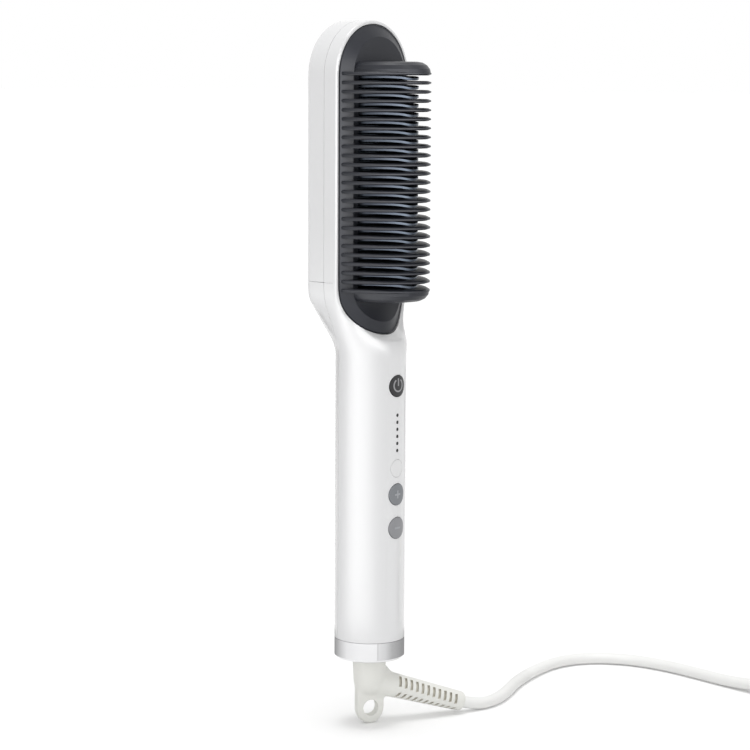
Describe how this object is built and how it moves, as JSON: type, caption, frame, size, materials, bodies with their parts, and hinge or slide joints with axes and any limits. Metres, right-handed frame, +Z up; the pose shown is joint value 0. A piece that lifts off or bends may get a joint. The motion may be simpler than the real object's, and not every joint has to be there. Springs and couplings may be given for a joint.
{
  "type": "hair straightening brush",
  "caption": "Corded hair straightening brush: round handle with push buttons, heated comb behind a finned guard, and a swivelling cord boot with a hanging hole.",
  "frame": {"origin": "centre of the hanging hole in the cord boot's lug, on the axis of the handle", "axes": "+Z up the handle towards the comb head, -Y out of the comb and buttons, +X right when facing them"},
  "size_m": [0.2457, 0.1781, 0.2995],
  "materials": {
    "white_gloss": "glossy white moulding",
    "guard_plastic": "fine matt dark grey",
    "heating_metal": "glossy blue-grey ceramic coat",
    "heater_body": "foil sleeve",
    "mica_sheet": "mica",
    "steel": "zinc plated",
    "fuse_body": "enamelled",
    "sensor_glass": "glass bead",
    "board": "solder mask",
    "switch_body": "moulded",
    "switch_plunger": "moulded",
    "power_button_dark": "satin dark grey",
    "button_grey": "metallic grey paint",
    "diode": "clear resin",
    "light_guide": "smoked clear",
    "status_lens": "milky white",
    "chrome": "bright plating",
    "cap_plastic": "satin light grey",
    "boot_rubber": "satin warm light grey",
    "cord_jacket": "satin warm light grey",
    "tie_strap": "woven strap",
    "plug_rubber": "satin warm light grey",
    "blade_metal": "plain brass"
  },
  "bodies": {
    "handle": {"front_housing": "white_gloss", "rear_housing": "white_gloss", "head_rear_cover": "white_gloss", "comb_guard": "guard_plastic", "heating_comb": "heating_metal", "upper_heater": "heater_body", "lower_heater": "heater_body", "insulation_sheet": "mica_sheet", "clamp_plate": "steel", "comb_screws": "steel", "thermal_fuse": "fuse_body", "temperature_sensor": "sensor_glass", "control_board": "board", "power_switch": "switch_body", "plus_switch": "switch_body", "minus_switch": "switch_body", "indicator_diodes": "diode", "status_diode": "diode", "indicator_light_guide": "light_guide", "status_lens": "status_lens", "chrome_ring": "chrome", "end_cap": "cap_plastic"},
    "cord_swivel": {"cord_boot": "boot_rubber", "swivel_clip": "steel", "power_cord": "cord_jacket", "cord_coil": "cord_jacket", "cord_tie": "tie_strap", "plug_cord": "cord_jacket", "plug_body": "plug_rubber", "plug_blades": "blade_metal"},
    "power_key": {"power_button": "power_button_dark", "power_switch_plunger": "switch_plunger"},
    "plus_key": {"plus_button": "button_grey", "plus_switch_plunger": "switch_plunger"},
    "minus_key": {"minus_button": "button_grey", "minus_switch_plunger": "switch_plunger"}
  },
  "joints": [
    {"name": "cord_swivel_turn", "type": "hinge", "parent": "handle", "child": "cord_swivel", "pos_m": [0, 0, 0.024], "axis": [0, 0, 1], "continuous": true},
    {"name": "power_press", "type": "slide", "parent": "handle", "child": "power_key", "axis": [0, 1, 0], "range_m": [0, 0.0005], "stiffness_N_per_m": 1500},
    {"name": "plus_press", "type": "slide", "parent": "handle", "child": "plus_key", "axis": [0, 1, 0], "range_m": [0, 0.0005], "stiffness_N_per_m": 1500},
    {"name": "minus_press", "type": "slide", "parent": "handle", "child": "minus_key", "axis": [0, 1, 0], "range_m": [0, 0.0005], "stiffness_N_per_m": 1500}
  ]
}
